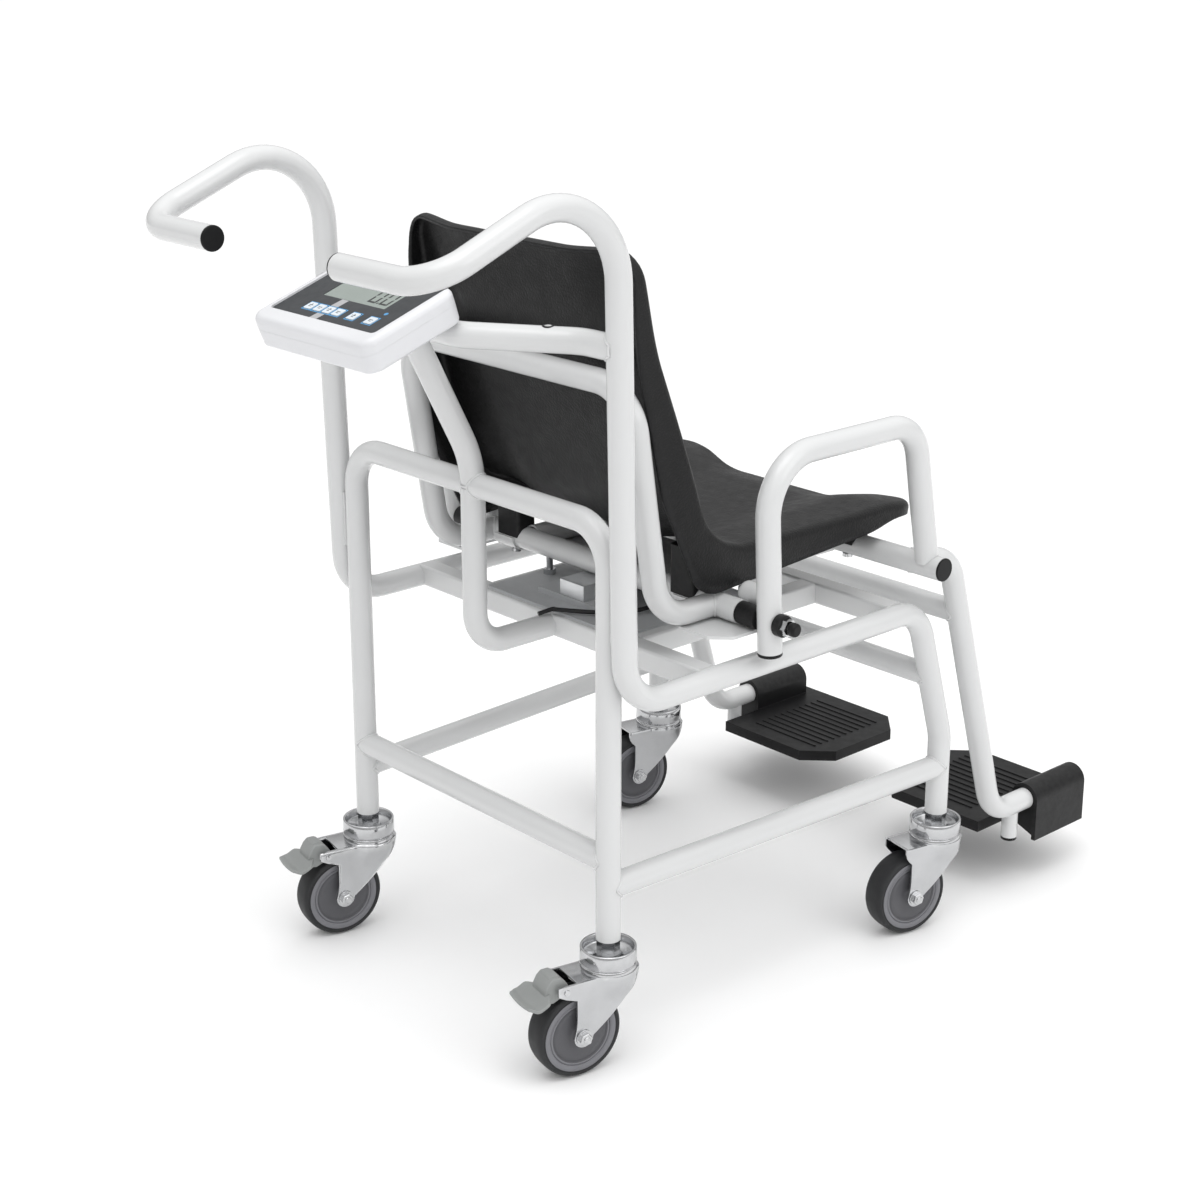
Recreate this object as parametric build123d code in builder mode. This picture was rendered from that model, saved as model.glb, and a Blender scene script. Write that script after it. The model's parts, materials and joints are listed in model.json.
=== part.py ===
from build123d import *
from math import cos, radians, sin
import os

# Electronic chair scale on four swivel casters.
# Millimetres, +Z up. The sitter faces -Y, the operator stands at +Y, the sitter's left is +X.
# Everything is laid out from a point on the floor halfway between the front and rear caster stems,
# and save() then moves it so that the origin is on the floor under the middle of the whole.
# A lower base (hoop, side frames with push handles, casters) carries a weigh frame (seat, armrests,
# footrests) through one load cell between the base rails and the seat rails.

# Middle of the whole, from footplates to push grips, seen from the middle of the caster stems
MIDDLE_Y = -20.53

# Bent steel tube
TUBE_R = 13.45
WALL = 2.0
SEAM = 0.02  # weld seam gap at coped joints
FIT = 0.05  # radial running clearance

# Base
FRAME_X = 242.0
HOOP_X = 215.0
STEM_Y = 254.0
LEG_BOTTOM = 146.0
HOOP_TOP = 600.7
RAIL_Z = 414.8
GRIP_Y = 493.5
GRIP_Z = 877.5
GRIP_END_X = 109.0
CROSS_Z = 417.0
CROSS_SIZE = 25.0
REAR_CROSS_Y = 137.5
FRONT_CROSS_Y = -162.5
BASE_RAIL_X = 118.0
PLATE_TOP = 432.5

# Weigh frame
PIVOT_Y = 72.5
PIVOT_Z = 472.0
REAR_TUBE_HALF = 226.0
FRONT_TUBE = (-185.0, 478.0)
FRONT_TUBE_HALF = 290.0
SEAT_RAIL_X = 122.0
SEAT_RAIL_Z = 475.0
HANGER_Z = 108.5
ARM_X = 267.0
ARM_Z = 649.5
BACK_X = 186.3

# Seat shell
SEAT_HALF = 200.0
SEAT_SKIN = 4.0
SEAT_CORNER = 38.0
SEAT_FOOT_X = 148.0

# Display head
TILT = 19.7
FACE = Plane(
    origin=(0, 400, 818.3),
    x_dir=(1, 0, 0),
    z_dir=(0, sin(radians(TILT)), cos(radians(TILT))),
)
FACE_AXIS = Axis(FACE.origin, FACE.z_dir)
CASE_W = 196.0
CASE_H = 121.0
CASE_MID = 5.5
CASE_BACK = -33.3
CASE_SPLIT = -13.0
CASE_WALL = 2.2
KEY_SIZE = 12.0
KEY_Y = 25.0
KEY_X = {"key_1": 43.0, "key_2": 27.3, "key_3": 11.6, "key_4": -4.1, "key_5": -29.5, "key_6": -58.0}
BOW_Z = 788.6
BOW_Y = 338.0

# Casters
WHEEL_R = 50.0
WHEEL_W = 32.0
TRAIL = 42.0
CHEEK_IN = 18.5
CHEEK_OUT = 21.0
AXLE_R = 4.0
STEM_R = 6.0

os.makedirs("parts", exist_ok=True)


def save(piece, name):
    centred = piece.moved(Location((0, -MIDDLE_Y, 0)))
    centred.label = name
    export_step(centred, f"parts/{name}.step")


def bar(points, bends=(), radius=TUBE_R + SEAM):
    """Solid round bar along a polyline with rounded corners; also the cutter for coped ends."""
    with BuildPart() as rod:
        with BuildLine() as path:
            if bends:
                FilletPolyline(*points, radius=bends)
            else:
                Polyline(*points)
        with BuildSketch(Plane(origin=path.line @ 0, z_dir=path.line % 0)):
            Circle(radius)
        sweep()
    return rod.part


def tube(points, bends=(), radius=TUBE_R, wall=WALL, cuts=()):
    """Hollow tube along a polyline with rounded corners; cuts cope its ends or drill it."""
    with BuildPart() as pipe:
        with BuildLine() as path:
            if bends:
                FilletPolyline(*points, radius=bends)
            else:
                Polyline(*points)
        with BuildSketch(Plane(origin=path.line @ 0, z_dir=path.line % 0)):
            Circle(radius)
            Circle(radius - wall, mode=Mode.SUBTRACT)
        sweep()
        for cut in cuts:
            add(cut, mode=Mode.SUBTRACT)
    return pipe.part


def block(low, high, edge=0.0, axis=Axis.X):
    """Box from its low and high corners, its edges along one axis rounded."""
    with BuildPart() as box:
        with Locations([((low[0] + high[0]) / 2, (low[1] + high[1]) / 2, (low[2] + high[2]) / 2)]):
            Box(high[0] - low[0], high[1] - low[1], high[2] - low[2])
        if edge:
            fillet(box.edges().filter_by(axis), radius=edge)
    return box.part


def pin(start, end, radius):
    return bar([start, end], (), radius)


def group(*pieces):
    """Separate solids that share one node."""
    solids = []
    for piece in pieces:
        solids.extend(piece.solids())
    return Part(Compound(solids).wrapped)


def both(piece):
    """A piece and its mirror image on the other side."""
    return group(piece, mirror(piece, about=Plane.YZ))


def square_rail(start, end):
    """Square tube with rounded corners, straight from start to end."""
    with BuildPart() as rail:
        with BuildLine() as path:
            Polyline(start, end)
        with BuildSketch(Plane(origin=path.line @ 0, z_dir=path.line % 0, x_dir=(0, 0, 1))):
            RectangleRounded(CROSS_SIZE, CROSS_SIZE, 3.0)
            RectangleRounded(CROSS_SIZE - 2 * WALL, CROSS_SIZE - 2 * WALL, 1.2, mode=Mode.SUBTRACT)
        sweep()
    return rail.part


# ---------------------------------------------------------------- base frame
FRAME_BENDS = (60, 49, 52, 81, 46)


def frame_points(side):
    x = side * FRAME_X
    return [
        (x, -STEM_Y, LEG_BOTTOM),
        (x, -STEM_Y, 244.6),
        (x, -202, RAIL_Z),
        (x, 255.5, RAIL_Z),
        (x, 269.1, 971.9),
        (x, GRIP_Y, GRIP_Z),
        (side * GRIP_END_X, GRIP_Y, GRIP_Z),
    ]


HOOP_POINTS = [
    (-HOOP_X, STEM_Y, LEG_BOTTOM),
    (-HOOP_X, STEM_Y, HOOP_TOP),
    (HOOP_X, STEM_Y, HOOP_TOP),
    (HOOP_X, STEM_Y, LEG_BOTTOM),
]
HOOP_BENDS = (46, 46)

frame_left_cut = bar(frame_points(1), FRAME_BENDS)
frame_right_cut = bar(frame_points(-1), FRAME_BENDS)
hoop_cut = bar(HOOP_POINTS, HOOP_BENDS)

# The operator's hoop at the rear: two caster legs and a high cross bar in one bent tube.
rear_hoop = tube(HOOP_POINTS, HOOP_BENDS)
save(rear_hoop, "rear_hoop")

# Side frames: front caster leg, side rail and push handle in one bent tube each.
side_frame_left = tube(frame_points(1), FRAME_BENDS)
side_frame_right = mirror(side_frame_left, about=Plane.YZ)
save(side_frame_left, "side_frame_left")
save(side_frame_right, "side_frame_right")

# Cross and side stretchers, coped onto the legs.
rear_stretcher = tube([(-HOOP_X + 3, STEM_Y, 235.5), (HOOP_X - 3, STEM_Y, 235.5)], cuts=[hoop_cut])

side_stretcher = tube(
    [(HOOP_X, STEM_Y - 3, 205.3), (FRAME_X, -STEM_Y + 3, 205.3)], cuts=[hoop_cut, frame_left_cut]
)
save(group(rear_stretcher, both(side_stretcher)), "lower_stretchers")

front_cross_tube = tube(
    [(-FRAME_X + 3, -228.8, 327), (FRAME_X - 3, -228.8, 327)], cuts=[frame_left_cut, frame_right_cut]
)
save(front_cross_tube, "front_cross_tube")

# Square cross rails between the side rails, and two square rails along the base between them.
cross_rails = []
for y in (REAR_CROSS_Y, FRONT_CROSS_Y):
    with BuildPart() as cross_rail:
        add(square_rail((-FRAME_X + 3, y, CROSS_Z), (FRAME_X - 3, y, CROSS_Z)))
        add(frame_left_cut, mode=Mode.SUBTRACT)
        add(frame_right_cut, mode=Mode.SUBTRACT)
    cross_rails.append(cross_rail.part)
save(group(*cross_rails), "cross_rails")

base_rail = square_rail(
    (BASE_RAIL_X, FRONT_CROSS_Y + CROSS_SIZE / 2 + SEAM, CROSS_Z),
    (BASE_RAIL_X, REAR_CROSS_Y - CROSS_SIZE / 2 - SEAM, CROSS_Z),
)
save(both(base_rail), "base_rails")

# ---------------------------------------------------------------- load cell between base and weigh frame
with BuildPart() as load_cell_plate:
    with BuildSketch(Plane.XY.offset(CROSS_Z + CROSS_SIZE / 2 + SEAM)):
        with Locations((0, 42)):
            RectangleRounded(232, 204, 4)
    extrude(amount=PLATE_TOP - CROSS_Z - CROSS_SIZE / 2 - SEAM)
    # raised pad that takes the fixed end of the load cell
    with BuildSketch(Plane.XY.offset(PLATE_TOP)):
        with Locations((0, 92)):
            RectangleRounded(120, 48, 3)
    extrude(amount=7.0)
save(load_cell_plate.part, "load_cell_plate")

with BuildPart() as load_cell:
    with BuildSketch(Plane.YZ):
        with Locations((40, 449)):
            RectangleRounded(150, 18.9, 1.0)
        # bending window of the double beam
        with Locations((26, 449), (54, 449)):
            Circle(7.0, mode=Mode.SUBTRACT)
        with Locations((40, 449)):
            Rectangle(28, 4, mode=Mode.SUBTRACT)
    extrude(amount=20, both=True)
save(load_cell.part, "load_cell")

# Top plate under the seat rails, carried by the free end of the load cell.
with BuildPart() as weigh_plate:
    with BuildSketch(Plane.XY.offset(SEAT_RAIL_Z - TUBE_R - SEAM)):
        with Locations((0, -15)):
            RectangleRounded(268, 120, 6)
    extrude(amount=-3.0)
save(weigh_plate.part, "weigh_plate")

# Overload stops: bolts standing on the base plate with lock nuts, a hair below the weigh frame.
with BuildPart() as overload_stops:
    with BuildSketch(Plane.XY.offset(PLATE_TOP + SEAM)):
        with GridLocations(200, 124, 2, 2):
            RegularPolygon(7.5, 6)
    extrude(amount=6.5)
    with BuildSketch(Plane.XY.offset(PLATE_TOP + SEAM)):
        with GridLocations(200, 124, 2, 2):
            Circle(4)
    extrude(amount=24.5)

# Signal cable from the load cell over the base plate to the top of the display post's foot.
with BuildPart() as signal_cable:
    with BuildLine() as cable_path:
        Spline(
            (-22.7, 30, 449),
            (-48, 34, 446),
            (-75, 56, 439),
            (-72, 95, 437.5),
            (-42, 130, 437.5),
            (-10, 150, 437),
            (0, 165, 432.4),
            tangents=[(-1, 0, 0), (0.3, 1, -0.2)],
        )
    with BuildSketch(Plane(origin=cable_path.line @ 0, z_dir=cable_path.line % 0)):
        Circle(2.5)
    sweep()
save(signal_cable.part, "signal_cable")

# ---------------------------------------------------------------- display post and bow
BOW_POINTS = [
    (-FRAME_X + 3, 266, BOW_Z),
    (-192, 267, BOW_Z),
    (-86, BOW_Y, BOW_Z),
    (86, BOW_Y, BOW_Z),
    (192, 267, BOW_Z),
    (FRAME_X - 3, 266, BOW_Z),
]
BOW_BENDS = (42, 45, 45, 42)
bow_cut = bar(BOW_POINTS, BOW_BENDS)
display_bow = tube(BOW_POINTS, BOW_BENDS, cuts=[frame_left_cut, frame_right_cut])
save(display_bow, "display_bow")

post_lower = tube(
    [(0, 255, HOOP_TOP - 3), (0, 255, 416), (0, REAR_CROSS_Y + CROSS_SIZE / 2 + SEAM, 416)],
    (39,),
    cuts=[hoop_cut],
)
post_upper = tube(
    [(0, 255, HOOP_TOP + 3), (0, 258.5, 634), (0, 336.5, BOW_Z - 3)], (120,), cuts=[hoop_cut, bow_cut]
)
save(group(post_lower, post_upper), "display_post")

# Sheet bracket on the bow that takes the display head.
with BuildPart() as display_bracket:
    with BuildSketch(FACE.offset(CASE_BACK - SEAM)):
        with Locations((0, -36)):
            RectangleRounded(120, 26, 4)
        with Locations((-45, -36), (45, -36)):
            Circle(2.2, mode=Mode.SUBTRACT)
    extrude(amount=-2.0)
    add(bow_cut, mode=Mode.SUBTRACT)

# ---------------------------------------------------------------- display head
with BuildPart() as display_rear_cover:
    with BuildSketch(FACE.offset(CASE_BACK)):
        with Locations((0, CASE_MID)):
            RectangleRounded(CASE_W, CASE_H, 16)
    extrude(amount=CASE_SPLIT - CASE_BACK, taper=-2)
    fillet(display_rear_cover.faces().sort_by(FACE_AXIS)[0].edges(), radius=4)
    with BuildSketch(FACE.offset(CASE_BACK + CASE_WALL)):
        with Locations((0, CASE_MID)):
            RectangleRounded(CASE_W - 2 * CASE_WALL, CASE_H - 2 * CASE_WALL, 14)
    extrude(amount=40, mode=Mode.SUBTRACT)
save(display_rear_cover.part, "display_rear_cover")

with BuildPart() as display_front_cover:
    with BuildSketch(FACE.offset(CASE_SPLIT + SEAM)):
        with Locations((0, CASE_MID)):
            RectangleRounded(CASE_W + 1.4, CASE_H + 1.4, 16.6)
    extrude(amount=2.0 - CASE_SPLIT - SEAM)
    fillet(display_front_cover.faces().sort_by(FACE_AXIS)[-1].edges(), radius=7)
    with BuildSketch(FACE.offset(CASE_SPLIT)):
        with Locations((0, CASE_MID)):
            RectangleRounded(CASE_W - 2 * CASE_WALL, CASE_H - 2 * CASE_WALL, 14)
    extrude(amount=-2.5 - CASE_SPLIT, mode=Mode.SUBTRACT)
    # recess for the keypad foil
    with BuildSketch(FACE.offset(-0.5)):
        with Locations((0, -4)):
            RectangleRounded(177.0, 98.8, 5)
    extrude(amount=10, mode=Mode.SUBTRACT)
    # window and key openings
    with BuildSketch(FACE.offset(-5)):
        with Locations((0, -16)):
            Rectangle(103.0, 37.0)
        with Locations([(x, KEY_Y) for x in KEY_X.values()]):
            Rectangle(KEY_SIZE + 0.6, KEY_SIZE + 0.6)
    extrude(amount=10, mode=Mode.SUBTRACT)
save(display_front_cover.part, "display_front_cover")

with BuildPart() as keypad_foil:
    with BuildSketch(FACE.offset(-0.48)):
        with Locations((0, -4)):
            RectangleRounded(176.0, 98.0, 4.5)
        with Locations((0, -16)):
            Rectangle(103.0, 37.0, mode=Mode.SUBTRACT)
        with Locations([(x, KEY_Y) for x in KEY_X.values()]):
            Rectangle(KEY_SIZE + 0.6, KEY_SIZE + 0.6, mode=Mode.SUBTRACT)
    extrude(amount=0.48)
save(keypad_foil.part, "keypad_foil")

with BuildPart() as display_lcd:
    with BuildSketch(FACE.offset(-9.5)):
        with Locations((0, -16)):
            Rectangle(114, 48)
    extrude(amount=6.5)
    with BuildSketch(FACE.offset(-3.0)):
        with Locations((0, -16)):
            Rectangle(102.6, 36.6)
    extrude(amount=2.6)
save(display_lcd.part, "display_lcd")

with BuildPart() as display_board:
    with BuildSketch(FACE.offset(-11.6)):
        with Locations((0, -1)):
            Rectangle(170, 90)
        with Locations((-80, -40), (80, -40), (-80, 38), (80, 38)):
            Circle(1.7, mode=Mode.SUBTRACT)
    extrude(amount=1.6)
save(display_board.part, "display_board")

with BuildPart() as battery_pack:
    with BuildSketch(FACE.offset(CASE_BACK + CASE_WALL + 0.2)):
        with Locations((0, 22)):
            RectangleRounded(62, 58, 5)
    extrude(amount=15)
save(battery_pack.part, "battery_pack")

# Keys: each cap stands in its opening and presses a switch on the board through a short stem.
for name, x in KEY_X.items():
    with BuildPart() as key:
        with BuildSketch(FACE.offset(-0.5)):
            with Locations((x, KEY_Y)):
                RectangleRounded(KEY_SIZE, KEY_SIZE, 1.5)
        extrude(amount=1.3)
        fillet(key.faces().sort_by(FACE_AXIS)[-1].edges(), radius=0.4)
        with BuildSketch(FACE.offset(-0.5)):
            with Locations((x, KEY_Y)):
                Circle(2.5)
        extrude(amount=-8.85)
    save(key.part, name)

# ---------------------------------------------------------------- weigh frame
rear_tube_cut = bar([(-REAR_TUBE_HALF - 1, PIVOT_Y, PIVOT_Z), (REAR_TUBE_HALF + 1, PIVOT_Y, PIVOT_Z)])
front_tube_cut = pin(
    (-FRONT_TUBE_HALF, *FRONT_TUBE), (FRONT_TUBE_HALF, *FRONT_TUBE), TUBE_R + SEAM
)


def screw_hole(x, y, z):
    return pin((x, y, z - 20), (x, y, z + 20), 3.2)


rear_holes = [screw_hole(s * SEAT_FOOT_X, PIVOT_Y, PIVOT_Z) for s in (-1, 1)]
front_holes = [screw_hole(s * SEAT_FOOT_X, *FRONT_TUBE) for s in (-1, 1)]
rear_seat_tube = tube(
    [(-REAR_TUBE_HALF, PIVOT_Y, PIVOT_Z), (REAR_TUBE_HALF, PIVOT_Y, PIVOT_Z)], cuts=rear_holes
)
front_seat_tube = tube(
    [(-FRONT_TUBE_HALF, *FRONT_TUBE), (FRONT_TUBE_HALF, *FRONT_TUBE)], cuts=front_holes
)
save(rear_seat_tube, "rear_seat_tube")
save(front_seat_tube, "front_seat_tube")

seat_rail = tube(
    [(SEAT_RAIL_X, PIVOT_Y - 4, SEAT_RAIL_Z), (SEAT_RAIL_X, FRONT_TUBE[0] + 4, SEAT_RAIL_Z)],
    cuts=[rear_tube_cut, front_tube_cut],
)
seat_rail_cut = bar([(SEAT_RAIL_X, PIVOT_Y, SEAT_RAIL_Z), (SEAT_RAIL_X, FRONT_TUBE[0], SEAT_RAIL_Z)])
save(both(seat_rail), "seat_rails")

BACK_POINTS = [
    (-BACK_X, PIVOT_Y + 3, PIVOT_Z),
    (-BACK_X, 157.3, PIVOT_Z),
    (-BACK_X, 198.2, 729),
    (BACK_X, 198.2, 729),
    (BACK_X, 157.3, PIVOT_Z),
    (BACK_X, PIVOT_Y + 3, PIVOT_Z),
]
backrest_loop = tube(BACK_POINTS, (50, 50, 50, 50), cuts=[rear_tube_cut])
save(backrest_loop, "backrest_loop")

# Footrest hangers sweep down from the front seat tube and end as the footplate hinge pins.


def hanger_points(side):
    x = side * FRAME_X
    return [
        (x, FRONT_TUBE[0] - 3, FRONT_TUBE[1] - 0.5),
        (x, -255.4, 466),
        (x, -362.3, HANGER_Z),
        (x, -525, HANGER_Z),
    ]


HANGER_BENDS = (45, 45)
hanger_cut = bar(hanger_points(1), HANGER_BENDS)
stub = tube([(FRAME_X, -403, 66), (FRAME_X, -403, HANGER_Z)], (), 10.0, 2.0, cuts=[hanger_cut])
hanger = group(tube(hanger_points(1), HANGER_BENDS, cuts=[front_tube_cut]), stub)
save(hanger, "hanger_left")
save(mirror(hanger, about=Plane.YZ), "hanger_right")

hanger_cross_tube = tube(
    [(-FRAME_X + 3, -276.9, 394), (FRAME_X - 3, -276.9, 394)],
    cuts=[hanger_cut, mirror(hanger_cut, about=Plane.YZ)],
)
save(hanger_cross_tube, "hanger_cross_tube")

# Gusset plates under the rear seat tube and backrest legs, and saddles under the seat feet.
with BuildPart() as gusset:
    with BuildSketch(Plane.XY.offset(PIVOT_Z - TUBE_R - SEAM)):
        with BuildLine():
            Polyline((186, 58), (249, 58), (249, 107), (229, 127), (186, 127), close=True)
        make_face()
    extrude(amount=-3.5)
    fillet(gusset.edges().filter_by(Axis.Z).group_by(Axis.X)[-1], radius=6)
with BuildPart() as saddle:
    with BuildSketch(Plane.YZ.offset(SEAT_RAIL_X + 14)):
        with Locations((PIVOT_Y, PIVOT_Z)):
            Circle(TUBE_R + 2.6)
            Circle(TUBE_R + SEAM, mode=Mode.SUBTRACT)
        with Locations((PIVOT_Y, PIVOT_Z + 21)):
            Rectangle(60, 40, mode=Mode.SUBTRACT)
    extrude(amount=34)
    with Locations((SEAT_FOOT_X, PIVOT_Y, PIVOT_Z)):
        Cylinder(3.2, 60, mode=Mode.SUBTRACT)

# Short tube stubs welded on the front of the rear seat tube, beside the armrest legs.
with BuildPart() as stop_stub:
    add(pin((205, PIVOT_Y - 23.4, PIVOT_Z + 13.4), (250, PIVOT_Y - 23.4, PIVOT_Z + 13.4), TUBE_R))
    fillet(stop_stub.faces().sort_by(Axis.X)[0].edges(), radius=9)
    add(rear_tube_cut, mode=Mode.SUBTRACT)
save(group(both(group(gusset.part, saddle.part, stop_stub.part)), display_bracket.part), "frame_brackets")

# ---------------------------------------------------------------- seat
def seat_band(points, bends, half):
    """Side view of the seat closed into a face and pushed out across the seat."""
    with BuildPart() as slab:
        with BuildSketch(Plane.YZ):
            with BuildLine():
                FilletPolyline(*points, radius=bends, close=True)
            make_face()
        extrude(amount=half, both=True)
        # rounded front corners in plan, rounded top corners of the back
        with BuildSketch(Plane.XY.offset(300)):
            with Locations((0, points[0][0] + 300)):
                RectangleRounded(2 * half, 600, SEAT_CORNER - SEAT_HALF + half)
        extrude(amount=700, mode=Mode.INTERSECT)
        with BuildSketch(Plane.XZ.offset(-400)):
            with Locations((0, points[4][1] - 400)):
                RectangleRounded(2 * half, 800, SEAT_CORNER - SEAT_HALF + half)
        extrude(amount=800, mode=Mode.INTERSECT)
    return slab.part


seat_outer = seat_band(
    [(-241, 493), (-241, 509), (-214, 531), (86.4, 534), (203, 862), (213, 845), (164, 607), (108, 487)],
    (1, 7, 30, 75, 3, 6, 60, 40),
    SEAT_HALF,
)
seat_inner = seat_band(
    [(-237, 440), (-237, 507), (-212, 527), (89.2, 530), (205.8, 858), (260, 766), (262, 600), (262, 440)],
    (0, 5, 27, 71, 2, 0, 0, 0),
    SEAT_HALF - SEAT_SKIN,
)
with BuildPart() as seat_shell:
    add(seat_outer)
    add(seat_inner, mode=Mode.SUBTRACT)
save(seat_shell.part, "seat_shell")

# Four feet between the tubes and the underside of the seat pan, each with a screw from below.
seat_feet = []
seat_screws = []
for side in (-1, 1):
    for y, z, under in ((PIVOT_Y, PIVOT_Z, 16.07), (*FRONT_TUBE, 13.47)):
        x = side * SEAT_FOOT_X
        top = 529.0 if y > 0 else 526.8
        with BuildPart() as foot:
            add(block((x - 20, y - 14, z + 2), (x + 20, y + 14, top), 5, Axis.Z))
            add(rear_tube_cut, mode=Mode.SUBTRACT)
            add(front_tube_cut, mode=Mode.SUBTRACT)
            add(seat_rail_cut, mode=Mode.SUBTRACT)
            add(mirror(seat_rail_cut, about=Plane.YZ), mode=Mode.SUBTRACT)
            with BuildSketch(Plane.XY.offset(z)):
                with Locations((x, y)):
                    Circle(3.05)
            extrude(amount=38, mode=Mode.SUBTRACT)
        seat_feet.append(foot.part)
        with BuildPart() as seat_screw:
            with BuildSketch(Plane.XY.offset(z - under)):
                with Locations((x, y)):
                    Circle(6)
            extrude(amount=-4)
            with BuildSketch(Plane.XY.offset(z - under - 1)):
                with Locations((x, y)):
                    Circle(3)
            extrude(amount=under + 36)
            with BuildSketch(Plane.XY.offset(z - under - 4)):
                with Locations((x, y)):
                    RegularPolygon(2.9, 6)
            extrude(amount=2.2, mode=Mode.SUBTRACT)
        seat_screws.append(seat_screw.part)
save(group(*seat_feet), "seat_feet")
save(group(overload_stops.part, *seat_screws), "frame_bolts")

def end_cap(face, inward, radius, thick):
    """Push-in cap: a disc on the tube's end face and a spigot inside the bore."""
    outward = inward.reverse()
    with BuildPart() as cap:
        with BuildSketch(Plane(origin=face, z_dir=outward).offset(SEAM)):
            Circle(radius)
        extrude(amount=thick)
        fillet(cap.faces().sort_by(Axis(face, outward))[-1].edges(), radius=min(1.2, thick * 0.6))
        with BuildSketch(Plane(origin=face, z_dir=outward).offset(SEAM)):
            Circle(radius - WALL - 0.08)
        extrude(amount=-12)
    return cap.part


# ---------------------------------------------------------------- armrests
ARM_POINTS = [
    (ARM_X, PIVOT_Y - 1.85, 438),
    (ARM_X, PIVOT_Y + 9.65, ARM_Z),
    (ARM_X, -151, ARM_Z),
    (ARM_X, -184.6, 478),
]
ARM_BENDS = (62, 45)
arm_notch = pin((ARM_X - 30, *FRONT_TUBE), (ARM_X + 30, *FRONT_TUBE), TUBE_R + 0.3)
pivot_hole = pin((ARM_X - 30, PIVOT_Y, PIVOT_Z), (ARM_X + 30, PIVOT_Y, PIVOT_Z), 5.0 + FIT)
with BuildPart() as armrest:
    add(tube(ARM_POINTS, ARM_BENDS, cuts=[pivot_hole]))
    add(arm_notch, mode=Mode.SUBTRACT)
    add(block((ARM_X - 20, -210, 470), (ARM_X + 20, -160, 482)), mode=Mode.SUBTRACT)
save(armrest.part, "armrest_left")
save(mirror(armrest.part, about=Plane.YZ), "armrest_right")

leg_up = (Vector(*ARM_POINTS[1]) - Vector(*ARM_POINTS[0])).normalized()
armrest_cap = end_cap(Vector(*ARM_POINTS[0]), leg_up, TUBE_R, 4.0)
save(armrest_cap, "armrest_cap_left")
save(mirror(armrest_cap, about=Plane.YZ), "armrest_cap_right")

# Pivot hardware on each end of the rear seat tube: inner spacer with a spigot, outer washer.
with BuildPart() as pivot_spacer:
    with BuildSketch(Plane.YZ.offset(REAR_TUBE_HALF + SEAM)):
        with Locations((PIVOT_Y, PIVOT_Z)):
            Circle(12.5)
    extrude(amount=253.4 - REAR_TUBE_HALF)
    with BuildSketch(Plane.YZ.offset(REAR_TUBE_HALF + 1)):
        with Locations((PIVOT_Y, PIVOT_Z)):
            Circle(TUBE_R - WALL - 0.05)
    extrude(amount=-20)
    add(pin((200, PIVOT_Y, PIVOT_Z), (260, PIVOT_Y, PIVOT_Z), 5.05), mode=Mode.SUBTRACT)
with BuildPart() as pivot_washer:
    with BuildSketch(Plane.YZ.offset(ARM_X + TUBE_R + 0.1)):
        with Locations((PIVOT_Y, PIVOT_Z)):
            Circle(12)
            Circle(5.05, mode=Mode.SUBTRACT)
    extrude(amount=8.4)
save(both(group(pivot_spacer.part, pivot_washer.part)), "pivot_spacers")

with BuildPart() as pivot_nut:
    with BuildSketch(Plane.YZ.offset(289.1)):
        with Locations((PIVOT_Y, PIVOT_Z)):
            RegularPolygon(9.8, 6)
            Circle(5.05, mode=Mode.SUBTRACT)
    extrude(amount=8.0)
pivot_bolt = pin((208, PIVOT_Y, PIVOT_Z), (299, PIVOT_Y, PIVOT_Z), 5.0)
save(both(group(pivot_bolt, pivot_nut.part)), "armrest_pivot_bolts")


# ---------------------------------------------------------------- black end caps
cap_list = [
    end_cap(Vector(GRIP_END_X, GRIP_Y, GRIP_Z), Vector(1, 0, 0), TUBE_R, 2.5),
    end_cap(Vector(FRONT_TUBE_HALF, *FRONT_TUBE), Vector(-1, 0, 0), TUBE_R, 2.0),
    end_cap(Vector(FRAME_X, -403, 66), Vector(0, 0, 1), 10.0, 4.0),
    end_cap(Vector(FRAME_X, -525, HANGER_Z), Vector(0, 1, 0), TUBE_R - 0.3, 1.5),
]
with BuildPart() as bolt_cap:
    with BuildSketch(Plane.YZ.offset(299.1)):
        with Locations((PIVOT_Y, PIVOT_Z)):
            Circle(7.5)
    extrude(amount=8)
    fillet(bolt_cap.faces().sort_by(Axis.X)[-1].edges(), radius=3)
save(both(group(*cap_list, bolt_cap.part)), "tube_end_caps")

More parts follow.
